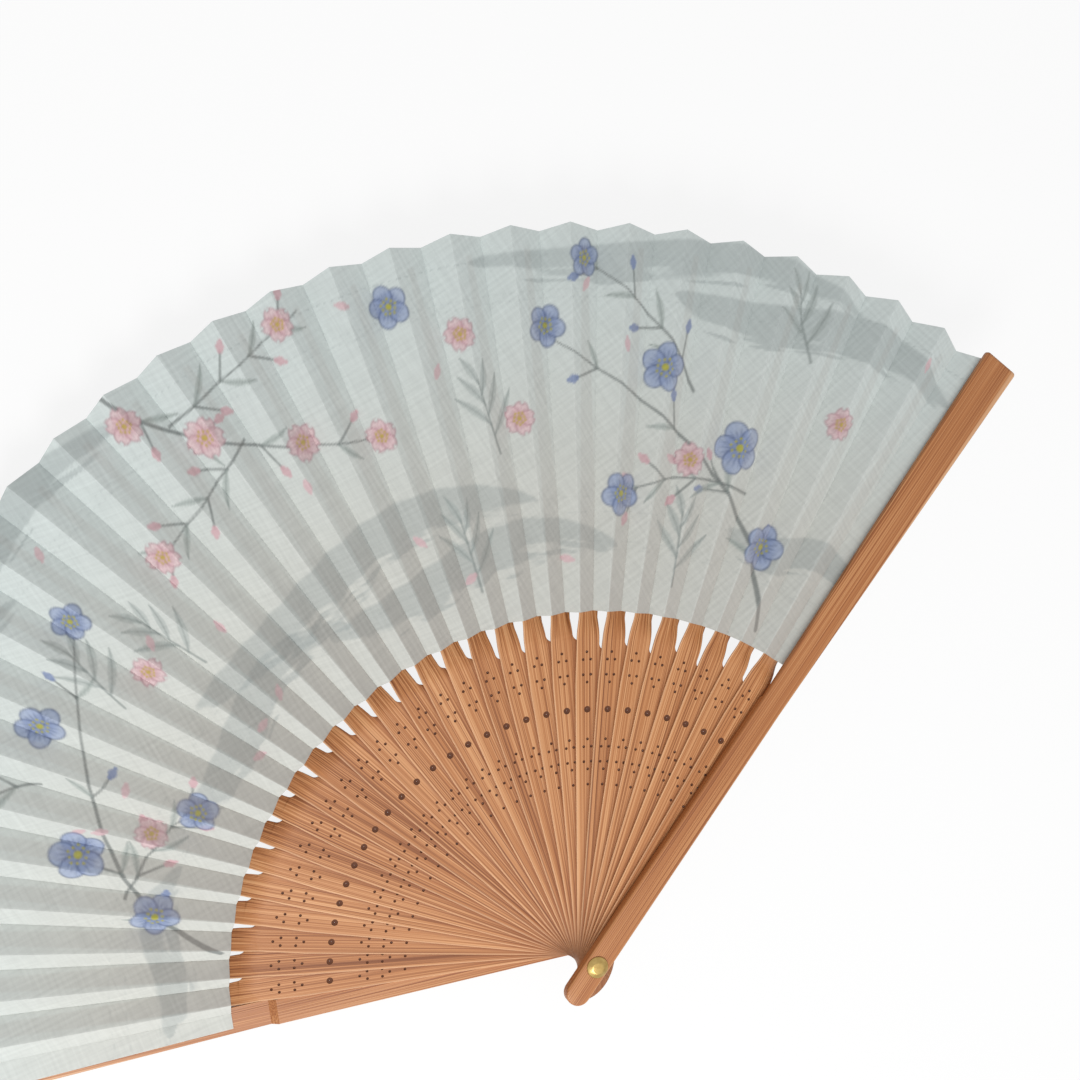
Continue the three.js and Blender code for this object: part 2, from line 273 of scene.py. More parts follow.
def guard_shape():
    """A guard with its outer face down on z = 0, its inner face hollowed where the leaf folds against it."""
    half_handle = GUARD_HANDLE_WIDTH / 2
    half_tip = GUARD_TIP_WIDTH / 2
    bm = outline_of([
        (-GUARD_TAIL, half_handle, TAIL_ROUND),
        (shoulder_start, half_handle, 0),
        (GUARD_TIP, half_tip, GUARD_CORNER_ROUND),
        (GUARD_TIP, -half_tip, GUARD_CORNER_ROUND),
        (shoulder_start, -half_handle, 0),
        (-GUARD_TAIL, -half_handle, TAIL_ROUND),
    ])
    fill_plate(bm, [(0, 0, PIVOT_HOLE_RADIUS, PIVOT_HOLE_SIDES)])
    raised = bmesh.ops.extrude_face_region(bm, geom=bm.faces[:])["geom"]
    inner = [v for v in raised if isinstance(v, bmesh.types.BMVert)]
    bmesh.ops.translate(bm, verts=inner, vec=(0, 0, guard_thickness))
    for along in (shoulder_start, twist_start):
        inner_face = [part for parts in (bm.verts, bm.edges, bm.faces) for part in parts
                      if min(v.co.z for v in getattr(part, "verts", [part])) > guard_thickness / 2]
        bmesh.ops.bisect_plane(bm, geom=inner_face, plane_co=(along, 0, 0), plane_no=(1, 0, 0))
    hollowed = [v for v in bm.verts if v.co.x > shoulder_start + SHOULDER_LENGTH / 2 and v.co.z > 0]
    bmesh.ops.translate(bm, verts=hollowed, vec=(0, 0, -GUARD_RELIEF))
    outer_rim = [e for e in bm.edges if max(v.co.z for v in e.verts) < FINE_EDGE
                 and min(v.co.xy.length for v in e.verts) > 2 * PIVOT_HOLE_RADIUS
                 and e.calc_face_angle(0) > SHARP_ANGLE]
    bmesh.ops.bevel(bm, geom=outer_rim, offset=GUARD_EDGE_ROUND, affect="EDGES", segments=5, profile=0.5,
                    material=-1)
    inner_rim = [e for e in bm.edges if min(v.co.z for v in e.verts) > GUARD_EDGE_ROUND + FINE_EDGE
                 and e.calc_face_angle(0) > SHARP_ANGLE]
    bmesh.ops.bevel(bm, geom=inner_rim, offset=FINE_EDGE, affect="EDGES", segments=2, profile=0.5,
                    material=-1)
    note_grain(bm)
    return bm


guard_bamboo = bamboo("oiled_guard_bamboo", "#86491E", "#B0703F", "#CC9361", cut_edge_mm=4.2, roughness=0.42)
rear_guard = place_stick(guard_shape(), "rear_guard", 0, rear_low.z, guard_bamboo, seed=3.0, tone=0.0)
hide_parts("guard_rear")

# Ribs
# Twenty-eight thin bamboo sticks, stacked on the rear guard. Each is a flat handle with pierced holes, cut in
# at a shoulder on its right, then a slim strip that turns to lie under its panel of the leaf.
STACK_GAP = 0.05 * MM
STRIP_THICKNESS = 0.36 * MM
RIB_TAIL = 11 * MM
RIB_TAIL_ROUND = 3 * MM
RIB_EDGE_ROUND = 0.07 * MM
HANDLE_LEFT = 3.2 * MM
HANDLE_RIGHT = 3.6 * MM
TAPER_START = 76 * MM
TAPER_END = 88 * MM
TAPERED_LEFT = 2.7 * MM
FLARE_START = 74 * MM
FLARE_END = 92 * MM
FLARED_RIGHT = 4.8 * MM
TUCKED_RIGHT = 4.8 * MM
SHOULDER_SLANT = 0.9 * MM
SHOULDER_ROUND = 0.7 * MM
SHOULDER_ON_NARROW = 90.4 * MM
SHOULDER_ON_WIDE = 85.6 * MM
SHOULDER_SCATTER = 1.4 * MM
NECK_RIGHT = 3.5 * MM
RIB_TWIST = 8.3 * MM
LEAF_RIM = 197 * MM
LEAF_EDGE_LEFT = 2.65 * MM
NARROW_RIB = 11
NARROW_RIGHT = 3.2 * MM
WIDE_RIB = 22
WIDE_RIGHT = 4.5 * MM
STRIP_TUCK = 9.5 * MM
TUCKED_STRIP = 2.4 * MM
STRIP_TIP_HALF_WIDTH = 1.05 * MM
STRIP_TIP_SETBACK = 6 * MM
LARGE_HOLE_RADIUS = 0.9 * MM
LARGE_HOLE_SIDES = 18
LARGE_HOLE_DROP = 14.5 * MM
SMALL_HOLE_RADIUS = 0.4 * MM
SMALL_HOLE_SIDES = 10
SINGLE_HOLE_DROP = 35 * MM
ROSETTE_LENGTH = 8.2 * MM
ROSETTE_WIDTH = 2.1 * MM
ROSETTE_HOLES = 6
UPPER_ROSETTE_DROP = 3 * MM
LOWER_ROSETTE_DROP = 26.7 * MM
HOLE_LIP = 0.85
HOLE_WAIST = 0.06
HOLE_SHADE = 1
RIB_PANEL = math.radians(2.6)
PLEAT_RISE_RIM = 2.4 * MM
FIRST_SEED = 10.0
SEED_STEP = 3.7
TONE_SCATTER = 0.04
TOUCHING = 1e-6

front_low, front_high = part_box("guard_front")
rib_pitch = (front_low.z - rear_high.z - STACK_GAP) / RIB_COUNT
rib_thickness = rib_pitch - STACK_GAP
strip_tip = LEAF_RIM - STRIP_TIP_SETBACK
rib_twist_start = LEAF_INNER - RIB_TWIST
plate_end = SHOULDER_ON_NARROW + SHOULDER_SCATTER + SHOULDER_SLANT + SHOULDER_ROUND
pleat_slope = PLEAT_RISE_RIM / LEAF_RIM
panel_tilt = math.atan2(pleat_slope, math.sin(RIB_PANEL / 2))


def rib_middle(rib):
    """The height of a rib's middle in the stack."""
    return rear_high.z + STACK_GAP + rib_thickness / 2 + (rib - 1) * rib_pitch


def eased(value, low, high):
    """0 below low, 1 above high, and a smooth rise between them."""
    share = np.clip((value - low) / (high - low), 0, 1)
    return share * share * (3 - 2 * share)


def left_edge(along):
    """How far a rib reaches to the left of its middle line."""
    return np.interp(along, [TAPER_START, TAPER_END, LEAF_INNER, strip_tip],
                     [HANDLE_LEFT, TAPERED_LEFT, LEAF_EDGE_LEFT, STRIP_TIP_HALF_WIDTH])


def strip_right(rib):
    """How far a rib's strip reaches to the right of its middle line at the leaf's edge. Those on the left
    are slimmer."""
    return np.interp(rib, [NARROW_RIB, WIDE_RIB], [NARROW_RIGHT, WIDE_RIGHT])


def right_edge(along, rib):
    """How far a rib's neck and strip reach to the right of its middle line. Past the leaf's edge the strip
    is cut back to lie within its pleat. The last rib goes in under the guard."""
    tuck_end = LEAF_INNER + STRIP_TUCK
    if rib == RIB_COUNT:
        return np.interp(along, [FLARE_START, FLARE_END, LEAF_INNER, tuck_end, strip_tip],
                         [HANDLE_RIGHT, TUCKED_RIGHT, TUCKED_RIGHT, TUCKED_STRIP, STRIP_TIP_HALF_WIDTH])
    return np.interp(along, [FLARE_END, LEAF_INNER, tuck_end, strip_tip],
                     [NECK_RIGHT, strip_right(rib), TUCKED_STRIP, STRIP_TIP_HALF_WIDTH])


def rib_holes():
    """The holes of a rib's handle, the pivot's first: one large, one small and two rosettes of small ones."""
    holes = [(0, 0, PIVOT_HOLE_RADIUS, PIVOT_HOLE_SIDES)]
    holes.append((shoulder_start - LARGE_HOLE_DROP, 0, LARGE_HOLE_RADIUS, LARGE_HOLE_SIDES))
    holes.append((shoulder_start - SINGLE_HOLE_DROP, 0, SMALL_HOLE_RADIUS, SMALL_HOLE_SIDES))
    widest_turn = 2 * math.pi / ROSETTE_HOLES
    for drop in (UPPER_ROSETTE_DROP, LOWER_ROSETTE_DROP):
        for hole in range(ROSETTE_HOLES):
            along = shoulder_start - drop + ROSETTE_LENGTH / 2 * math.cos(hole * widest_turn)
            across = ROSETTE_WIDTH / 2 * math.sin(hole * widest_turn) / math.sin(widest_turn)
            holes.append((along, across, SMALL_HOLE_RADIUS, SMALL_HOLE_SIDES))
    return holes


def taper_hole(bm, along, across, radius):
    """Draws a hole's wall in to a narrow waist, as a tapered awl leaves it when pushed in from both faces."""
    NEAR_HOLE = 1.05
    middle = Vector((along, across, 0))
    ring = {v for v in bm.verts if (v.co - middle).xy.length < NEAR_HOLE * radius}
    walls = [f for f in {f for v in ring for f in v.link_faces} if ring.issuperset(f.verts)]
    # The hole walls get the painted shade of the holes.
    for wall in walls:
        wall.material_index = HOLE_SHADE
    uprights = {e for f in walls for e in f.edges if e.verts[0].co.z * e.verts[1].co.z < 0}
    inner = bmesh.ops.subdivide_edges(bm, edges=list(uprights), cuts=3, use_grid_fill=True)["geom_inner"]
    inner = [v for v in inner if isinstance(v, bmesh.types.BMVert)]
    for share, verts in ((HOLE_WAIST, [v for v in inner if abs(v.co.z) < rib_thickness / 8]),
                         (HOLE_LIP, [v for v in inner if abs(v.co.z) > rib_thickness / 8])):
        bmesh.ops.scale(bm, vec=(share, share, 1), space=Matrix.Translation(-middle), verts=verts)


def rib_shape(rib, shoulder):
    """A rib, its handle flat about z = 0. Its right side flares a little, up to where the shoulder was cut.
    The last one, tucked under the guard, has no cut."""
    TWIST_STEP = 0.5 * MM
    ON_CUT = 0.05 * MM
    NECK_STEPS = 4
    STRIP_STEPS = 10
    flared = np.interp(shoulder, [FLARE_START, FLARE_END], [HANDLE_RIGHT, FLARED_RIGHT])
    cut = [
        (shoulder + SHOULDER_SLANT, -right_edge(shoulder + SHOULDER_SLANT, rib), SHOULDER_ROUND),
        (shoulder, -flared, FINE_EDGE),
    ]
    if rib == RIB_COUNT:
        cut = [(FLARE_END, -TUCKED_RIGHT, 0)]
    bm = outline_of([
        (-RIB_TAIL, HANDLE_LEFT, RIB_TAIL_ROUND),
        (TAPER_START, HANDLE_LEFT, 0),
        (TAPER_END, TAPERED_LEFT, 0),
        (plate_end, left_edge(plate_end), 0),
        (plate_end, -right_edge(plate_end, rib), 0),
        *cut,
        (FLARE_START, -HANDLE_RIGHT, 0),
        (-RIB_TAIL, -HANDLE_RIGHT, RIB_TAIL_ROUND),
    ])
    holes = rib_holes()
    fill_plate(bm, holes)
    for along in np.arange(rib_twist_start, plate_end - TWIST_STEP / 2, TWIST_STEP):
        bmesh.ops.bisect_plane(bm, geom=bm.verts[:] + bm.edges[:] + bm.faces[:], dist=ON_CUT,
                               plane_co=(along, 0, 0), plane_no=(1, 0, 0))
    end = [e for e in bm.edges if all(abs(v.co.x - plate_end) < TOUCHING for v in e.verts)]
    steps = list(np.linspace(plate_end, LEAF_INNER, NECK_STEPS + 1)[1:])
    steps += list(np.linspace(LEAF_INNER, strip_tip, STRIP_STEPS + 1)[1:])
    for along in steps:
        grown = bmesh.ops.extrude_edge_only(bm, edges=end)["geom"]
        end = [e for e in grown if isinstance(e, bmesh.types.BMEdge)]
        for vert in {v for e in end for v in e.verts}:
            vert.co = (along, left_edge(along) if vert.co.y > 0 else -right_edge(along, rib), 0)
    raised = bmesh.ops.extrude_face_region(bm, geom=bm.faces[:])["geom"]
    top = {v for v in raised if isinstance(v, bmesh.types.BMVert)}
    for vert in bm.verts:
        thinned = eased(vert.co.x, rib_twist_start, LEAF_INNER)
        half = (rib_thickness + (STRIP_THICKNESS - rib_thickness) * thinned) / 2
        vert.co.z = half if vert in top else -half
    for along, across, radius, _ in holes[1:]:
        taper_hole(bm, along, across, radius)
    rim = [e for e in bm.edges if e.calc_face_angle(0) > SHARP_ANGLE
           and not any(f.material_index == HOLE_SHADE for f in e.link_faces)]
    bmesh.ops.bevel(bm, geom=rim, offset=RIB_EDGE_ROUND, affect="EDGES", segments=2, profile=0.5, material=-1)
    note_grain(bm)
    for vert in bm.verts:
        turn = Matrix.Rotation(panel_tilt * eased(vert.co.x, rib_twist_start, LEAF_INNER), 3, "X")
        vert.co = turn @ vert.co
    return bm


rib_bamboo = bamboo("oiled_rib_bamboo", "#7B4217", "#B57543", "#D79E6C", HANDLE_LEFT / MM, roughness=0.5,
                    neck_mm=(TAPER_START / MM, TAPER_END / MM, (HANDLE_LEFT - TAPERED_LEFT) / MM))

# Painted hole shade: the walls of the pierced holes are coloured dark brown to black and dull, a painted
# shade for the dark insides of the holes, mottled and with a little bump.
MOTTLE_MM = 0.5
hole_shade, shader = new_material("painted_hole_shade")
place = add_node(hole_shade, "ShaderNodeTexCoord").outputs["Object"]
wall_mottle = add_node(hole_shade, "ShaderNodeTexNoise", {
    "Vector": place, "Scale": 1 / (MOTTLE_MM * MM), "Detail": 3.0}).outputs["Fac"]
shaded_wall = add_node(hole_shade, "ShaderNodeMix", {
    "Factor": wall_mottle, COLOUR_A: linear("#3F2010"), COLOUR_B: linear("#6E3D1E")}, data_type="RGBA")
dulled = add_node(hole_shade, "ShaderNodeMapRange", {"Value": wall_mottle, "To Min": 0.7, "To Max": 0.9})
wall_bump = add_node(hole_shade, "ShaderNodeBump", {"Height": wall_mottle, "Strength": 0.4, "Distance": 0.1 * MM})
set_inputs(hole_shade, shader, {
    "Base Color": shaded_wall.outputs[MIXED_COLOUR], "Roughness": dulled.outputs["Result"],
    "Normal": wall_bump.outputs["Normal"]})

hand = np.random.default_rng(28)
for rib in range(1, RIB_COUNT + 1):
    shoulder = np.interp(rib, [NARROW_RIB, WIDE_RIB], [SHOULDER_ON_NARROW, SHOULDER_ON_WIDE])
    shoulder += hand.uniform(-SHOULDER_SCATTER, SHOULDER_SCATTER)
    tone = hand.uniform(-TONE_SCATTER, TONE_SCATTER)
    stick = place_stick(rib_shape(rib, shoulder), f"rib_stick_{rib:02d}", rib, rib_middle(rib), rib_bamboo,
                        seed=FIRST_SEED + SEED_STEP * rib, tone=tone)
    stick.data.materials.append(hole_shade)
    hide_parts(f"rib_{rib:02d}")

# Front guard
# The same oiled bamboo stick as the rear guard, turned over so that its rounded face is up. It is the last
# stick on the rivet, on top of the stack, and the right end of the leaf is glued under it.
front_shape = guard_shape()
turned_over = Matrix.Rotation(math.pi, 3, "X")
bmesh.ops.rotate(front_shape, verts=front_shape.verts[:], cent=(0, 0, 0), matrix=turned_over)
front_guard = place_stick(front_shape, "front_guard", FRONT_STICK, front_high.z, guard_bamboo, seed=8.0,
                          tone=0.0)
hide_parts("guard_front")

# Pivot rivet
# A turned brass pin through all thirty sticks. Its ends are spread into low domed heads, which hold the
# stack together and let every stick turn.
HEAD_RADIUS = 3 * MM
HEAD_HEIGHT = 1 * MM
HEAD_DOME = 0.75 * MM
HEAD_FLAT_RADIUS = 1.6 * MM
HEAD_ROUND = 0.22 * MM
SHAFT_RADIUS = 1.3 * MM
RIVET_SMOOTH_BELOW = math.radians(35)

rivet_low, rivet_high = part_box("pivot_rivet")
profile = [
    (0, rivet_low.z, 0),
    (HEAD_FLAT_RADIUS, rivet_low.z, HEAD_ROUND),
    (HEAD_RADIUS, rivet_low.z + HEAD_DOME, HEAD_ROUND),
    (HEAD_RADIUS, rivet_low.z + HEAD_HEIGHT, 0),
    (SHAFT_RADIUS, rivet_low.z + HEAD_HEIGHT, 0),
    (SHAFT_RADIUS, rivet_high.z - HEAD_HEIGHT, 0),
    (HEAD_RADIUS, rivet_high.z - HEAD_HEIGHT, 0),
    (HEAD_RADIUS, rivet_high.z - HEAD_DOME, HEAD_ROUND),
    (HEAD_FLAT_RADIUS, rivet_high.z, HEAD_ROUND),
    (0, rivet_high.z, 0),
]
bm = bmesh.new()
profile_verts = [bm.verts.new((radius, 0, height)) for radius, height, _ in profile]
for first, second in zip(profile_verts, profile_verts[1:]):
    bm.edges.new((first, second))
for vert, (_, _, rounding) in zip(profile_verts, profile):
    if rounding:
        bmesh.ops.bevel(bm, geom=[vert], offset=rounding, affect="VERTICES", segments=4, profile=0.5,
                        material=-1)
bmesh.ops.spin(bm, geom=bm.verts[:] + bm.edges[:], cent=(0, 0, 0), axis=(0, 0, 1), angle=2 * math.pi,
               steps=64, use_merge=True)
bmesh.ops.remove_doubles(bm, verts=bm.verts[:], dist=TOUCHING)
bmesh.ops.recalc_face_normals(bm, faces=bm.faces[:])
rivet_mesh = bpy.data.meshes.new("rivet")
bm.to_mesh(rivet_mesh)
bm.free()
rivet_mesh.shade_smooth()
rivet_mesh.set_sharp_from_angle(angle=RIVET_SMOOTH_BELOW)
rivet = bpy.data.objects.new("rivet", rivet_mesh)
bpy.context.scene.collection.objects.link(rivet)

# Turned brass, a little dulled: rings from the tool and soft stains vary its gloss.
RING_MM = 0.25
STAIN_MM = 1.5
WAVE_TURN = 20  # a wave texture of scale 1 turns through 20 radians in a metre
rivet_brass, shader = new_material("turned_brass")
place = add_node(rivet_brass, "ShaderNodeTexCoord").outputs["Object"]
rings = add_node(rivet_brass, "ShaderNodeTexWave", {
    "Vector": place, "Scale": 2 * math.pi / (WAVE_TURN * RING_MM * MM), "Distortion": 0.3},
    wave_type="RINGS", rings_direction="Z")
stains = add_node(rivet_brass, "ShaderNodeTexNoise", {
    "Vector": place, "Scale": 1 / (STAIN_MM * MM), "Detail": 4.0}).outputs["Fac"]
tarnish = add_node(rivet_brass, "ShaderNodeMix", {
    "Factor": stains, COLOUR_A: linear("#C9AE70"), COLOUR_B: linear("#8C6E3A")}, data_type="RGBA")
gloss = add_node(rivet_brass, "ShaderNodeMapRange", {"Value": stains, "To Min": 0.22, "To Max": 0.42})
turned = add_node(rivet_brass, "ShaderNodeBump", {
    "Height": rings.outputs["Fac"], "Strength": 0.15, "Distance": 0.02 * MM})
set_inputs(rivet_brass, shader, {
    "Base Color": tarnish.outputs[MIXED_COLOUR], "Roughness": gloss.outputs["Result"],
    "Normal": turned.outputs["Normal"], "Metallic": 1.0})
rivet.data.materials.append(rivet_brass)
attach(rivet, "stick_00")
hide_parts("pivot_rivet")

# Leaf
# One sheet of thin dyed cloth, cut as a broad ring sector, pressed into pleats and glued over the strips.
# A glued panel rides on each stick, and a free panel folds between each stick and the next.
CLOTH_THICKNESS = 0.12 * MM
CLOTH_GAP = 0.12 * MM
CAD_CLOTH = 0.2 * MM
VALLEY_SETBACK = 1.9 * MM
SHOW_THROUGH_BLUR = 0.35 * MM
SHOW_THROUGH_REACH = 40 * MM
SHOW_THROUGH_SHARES = [0.38, 0.12]
SHOW_THROUGH_TINT = "#9A8A80"
PRESSED_CREASE = 0.15
AT_CREASE = 0.01
ROWS = 220
GLUED_COLUMNS = 26
FREE_COLUMNS = 22

cloth_lift = STRIP_THICKNESS / 2 / math.cos(panel_tilt) + CLOTH_GAP + CAD_CLOTH / 2
rear_flap_height = rear_high.z - GUARD_RELIEF + CLOTH_GAP + CAD_CLOTH / 2
front_flap_height = front_low.z + GUARD_RELIEF - CLOTH_GAP - CAD_CLOTH / 2


def crease(stick, side):
    """A crease as its height on the pivot axis and its direction: side 1 is the left of the stick's panel."""
    turn = azimuth(stick) + side * RIB_PANEL / 2
    if stick == 0:
        return rear_flap_height, np.array([math.cos(turn), math.sin(turn), 0])
    if stick == FRONT_STICK:
        return front_flap_height, np.array([math.cos(turn), math.sin(turn), 0])
    return rib_middle(stick) + cloth_lift, np.array([math.cos(turn), math.sin(turn), side * pleat_slope])


def flat_angle(first, second):
    """The angle between two creases, which the flat cloth keeps."""
    return math.acos(np.dot(first[1], second[1]) / np.linalg.norm(first[1]) / np.linalg.norm(second[1]))


crease_pairs = []
for stick in range(FRONT_STICK + 1):
    crease_pairs.append((crease(stick, 1), crease(stick, -1)))
flat_starts = [0.0]
for stick in range(FRONT_STICK + 1):
    flat_starts.append(flat_starts[-1] + flat_angle(*crease_pairs[stick]))
    if stick < FRONT_STICK:
        flat_starts.append(flat_starts[-1] + flat_angle(crease_pairs[stick][1], crease_pairs[stick + 1][0]))
flat_total = flat_starts[-1]


def soft_noise(points, cell, seed):
    """Smooth random values from 0 to 1 on a square lattice of that cell size."""
    LATTICE = 128
    lattice = np.random.default_rng(seed).random((LATTICE, LATTICE))
    spot = points / cell + 4 * LATTICE
    corner = np.floor(spot).astype(int)
    share = spot - corner
    share = share * share * (3 - 2 * share)
    x0, y0 = corner[:, 0] % LATTICE, corner[:, 1] % LATTICE
    x1, y1 = (x0 + 1) % LATTICE, (y0 + 1) % LATTICE
    low = lattice[x0, y0] * (1 - share[:, 0]) + lattice[x1, y0] * share[:, 0]
    high = lattice[x0, y1] * (1 - share[:, 0]) + lattice[x1, y1] * share[:, 0]
    return low * (1 - share[:, 1]) + high * share[:, 1]


def towards(turn):
    """A step of length 1 on the flat cloth in a direction in radians."""
    return np.array([math.cos(turn), math.sin(turn)])


def on_cloth(turn_deg, radius_mm):
    """A place on the flat cloth in mm: its direction, 90 at the middle, and its distance from the pivot."""
    return towards(math.radians(turn_deg)) * radius_mm


def lay_ink(colours, cover, ink, strength):
    """Lays an ink over the cloth's colours, as far as it covers each point."""
    share = np.clip(cover, 0, 1)[:, None] * strength
    return colours + share * (np.array(linear(ink)[:3]) - colours)


def print_stroke(spots, colours, start, bend, end, widths, ink, strength):
    """A brush stroke along a bent line. Its widths are given at equal steps from its start to its end."""
    STEP_MM = 0.4
    SOFT_EDGE_MM = 0.4
    steps = np.linspace(0, 1, max(6, int(np.linalg.norm(end - start) / STEP_MM)))[:, None]
    line = (1 - steps) ** 2 * start + 2 * steps * (1 - steps) * bend + steps ** 2 * end
    low = line.min(axis=0) - max(widths)
    high = line.max(axis=0) + max(widths)
    near = ((spots > low) & (spots < high)).all(axis=1)
    if near.any():
        gaps = np.linalg.norm(spots[near][:, None] - line[None], axis=2)
        width = np.interp(steps[gaps.argmin(axis=1), 0], np.linspace(0, 1, len(widths)), widths)
        cover = 0.5 - (gaps.min(axis=1) - width / 2) / SOFT_EDGE_MM
        colours[near] = lay_ink(colours[near], cover, ink, strength)


def print_blossom(spots, colours, centre, size, turn, inks, notch):
    """A five-petalled blossom, seen from above. inks are the petals', their bases', the lines' and the
    middle's. Lengths in it are shares of its size."""
    PETALS = 5
    PETAL_MIDDLE = 0.54
    PETAL_LENGTH = 0.46
    PETAL_WIDTH = 0.43
    VEIN_SPREADS = (-0.3, 0, 0.3)
    STAMENS = 10
    STAMEN_REACHES = (0.3, 0.36)
    HEART_RADIUS = 0.15
    LINE_MM = 0.5
    WASH_MM = 1.6
    WASH_SHARE = 0.22
    petal_ink, base_ink, line_ink, middle_ink = inks
    near = np.linalg.norm(spots - centre, axis=1) < 1.1 * size
    if not near.any():
        return
    away = (spots[near] - centre) / size
    inked = colours[near]
    wash = 1 - WASH_SHARE + WASH_SHARE * soft_noise(spots[near], WASH_MM, 5)
    for petal in range(PETALS):
        lean = turn + petal * 2 * math.pi / PETALS
        out = away @ towards(lean)
        side = away @ np.array([-math.sin(lean), math.cos(lean)])
        edge = (np.hypot((out - PETAL_MIDDLE) / PETAL_LENGTH, side / PETAL_WIDTH) - 1) * PETAL_WIDTH
        edge = np.maximum(edge, notch - np.hypot(out - 1, side)) * size
        inside = np.clip(0.5 - edge / LINE_MM, 0, 1)
        inked = lay_ink(inked, inside * wash, petal_ink, strength=0.95)
        inked = lay_ink(inked, inside * (1 - eased(out, 0.15, 0.8)), base_ink, strength=0.75)
        for spread in VEIN_SPREADS:
            vein = 1 - np.abs(side - out * spread) * size / LINE_MM
            reach = eased(out, 0.2, 0.35) * (1 - eased(out, 0.55, 0.85))
            inked = lay_ink(inked, vein * reach * inside, line_ink, strength=0.35)
        inked = lay_ink(inked, 1 - np.abs(edge) / LINE_MM, line_ink, strength=0.6)
    for stamen in range(STAMENS):
        tip = towards(turn + (stamen + 0.5) * 2 * math.pi / STAMENS) * STAMEN_REACHES[stamen % 2]
        dot = 1.2 - np.linalg.norm(away - tip, axis=1) * size / LINE_MM
        inked = lay_ink(inked, dot, middle_ink, strength=0.9)
    heart = 0.5 - (np.linalg.norm(away, axis=1) - HEART_RADIUS) * size / LINE_MM
    colours[near] = lay_ink(inked, heart, middle_ink, strength=0.9)


MIST_INK = "#8E9797"
TWIG_INK = "#6B706F"
STEM_INK = "#7D8583"
TWIG_LEAF_INK = "#9FA9A4"
SPRAY_LEAF_INK = "#A3ABA8"
LOOSE_PETAL_INK = "#D3B0B5"


def print_leaf(spots, colours, base, tip, width, ink):
    """A slender leaf with its middle vein, bowed a little to one side."""
    BOW = 0.08
    bend = (base + tip) / 2 + np.array([tip[1] - base[1], base[0] - tip[0]]) * BOW
    widths = [0.4, 0.8 * width, width, 0.7 * width, 0.3]
    print_stroke(spots, colours, base, bend, tip, widths, ink, strength=0.55)
    print_stroke(spots, colours, base, bend, tip, [0.5, 0.5, 0.4], STEM_INK, strength=0.5)


def print_mist(spots, colours, first_deg, last_deg, middle, width):
    """A long band of mist along the leaf's curve, drawn out thin at both ends. The brush leaves a clean edge
    outside and runs dry in streaks inside."""
    STREAK_DEG = 7
    STREAK_MM = 0.8
    BLOT_DEG = 2.5
    BLOT_MM = 2
    SOFT_EDGE_MM = 0.7
    turn = np.degrees(np.arctan2(spots[:, 1], spots[:, 0]))
    share = np.clip((turn - first_deg) / (last_deg - first_deg), 0, 1)
    half = width / 2 * np.sqrt(np.sin(math.pi * share)) + 1e-6
    away = np.linalg.norm(spots, axis=1) - middle - 0.25 * width * np.sin(2 * math.pi * share)
    streaks = soft_noise(np.stack([turn / STREAK_DEG, away / STREAK_MM], axis=1), 1, 9)
    blots = soft_noise(np.stack([turn / BLOT_DEG, away / BLOT_MM], axis=1), 1, 4)
    wet = eased(away / half + 0.8 * (streaks - 0.5) + 0.8 * (blots - 0.5), -1.0, 0.8)
    cover = (0.5 + (half - away) / SOFT_EDGE_MM) * wet * (0.8 + 0.2 * streaks)
    return lay_ink(colours, cover, MIST_INK, strength=0.38)


def print_twigs(spots, colours, first, bend, last, width, bud_ink):
    """A bare branch with short twigs to either side. Each twig ends in a bud, with a slender leaf across
    from it."""
    TWIG_STEPS = (0.2, 0.42, 0.64, 0.86)
    TWIG_MM = 8
    TWIG_LEAN = 0.8
    BUD_MM = 2.4
    LEAF_MM = 11
    LEAF_LEAN = 0.6
    start, middle, end = on_cloth(*first), on_cloth(*bend), on_cloth(*last)
    print_stroke(spots, colours, start, middle, end, [width, 0.7 * width, 0.5], TWIG_INK, strength=0.75)
    for number, step in enumerate(TWIG_STEPS):
        foot = (1 - step) ** 2 * start + 2 * step * (1 - step) * middle + step ** 2 * end
        along = (1 - step) * (middle - start) + step * (end - middle)
        heading = math.atan2(along[1], along[0])
        side = 1 if number % 2 else -1
        twig = towards(heading + TWIG_LEAN * side)
        across = towards(heading - LEAF_LEAN * side)
        tip = foot + TWIG_MM * twig
        twig_bend = foot + 0.6 * TWIG_MM * twig
        print_stroke(spots, colours, foot, twig_bend, tip, [0.8, 0.6], TWIG_INK, strength=0.7)
        print_stroke(spots, colours, tip, tip + twig, tip + BUD_MM * twig, [1.6, 2.6, 1.2], bud_ink,
                     strength=0.85)
        leaf_tip = foot + (LEAF_MM - number) * across
        print_leaf(spots, colours, foot, leaf_tip, width=2.0, ink=TWIG_LEAF_INK)


def print_spray(spots, colours, turn_deg, radius, lean_deg):
    """A stem with slender leaves to either side, shorter and steeper towards its tip."""
    STEM_MM = 20
    LEAVES = 6
    FIRST_LEAF_MM = 5
    LEAF_STEP_MM = 2.8
    LEAF_MM = 13
    LEAF_LEAN_DEG = 44
    LEAN_STEP_DEG = 5
    foot = on_cloth(turn_deg, radius)
    lean = math.radians(lean_deg)
    reach = towards(lean)
    print_stroke(spots, colours, foot, foot + STEM_MM / 2 * reach, foot + STEM_MM * reach, [0.8, 0.6, 0.5],
                 STEM_INK, strength=0.65)
    for leaf in range(LEAVES):
        turn = lean + math.radians(LEAF_LEAN_DEG - LEAN_STEP_DEG * leaf) * (1 if leaf % 2 else -1)
        base = foot + (FIRST_LEAF_MM + LEAF_STEP_MM * leaf) * reach
        tip = base + (LEAF_MM - leaf) * towards(turn)
        print_leaf(spots, colours, base, tip, width=2.4, ink=SPRAY_LEAF_INK)


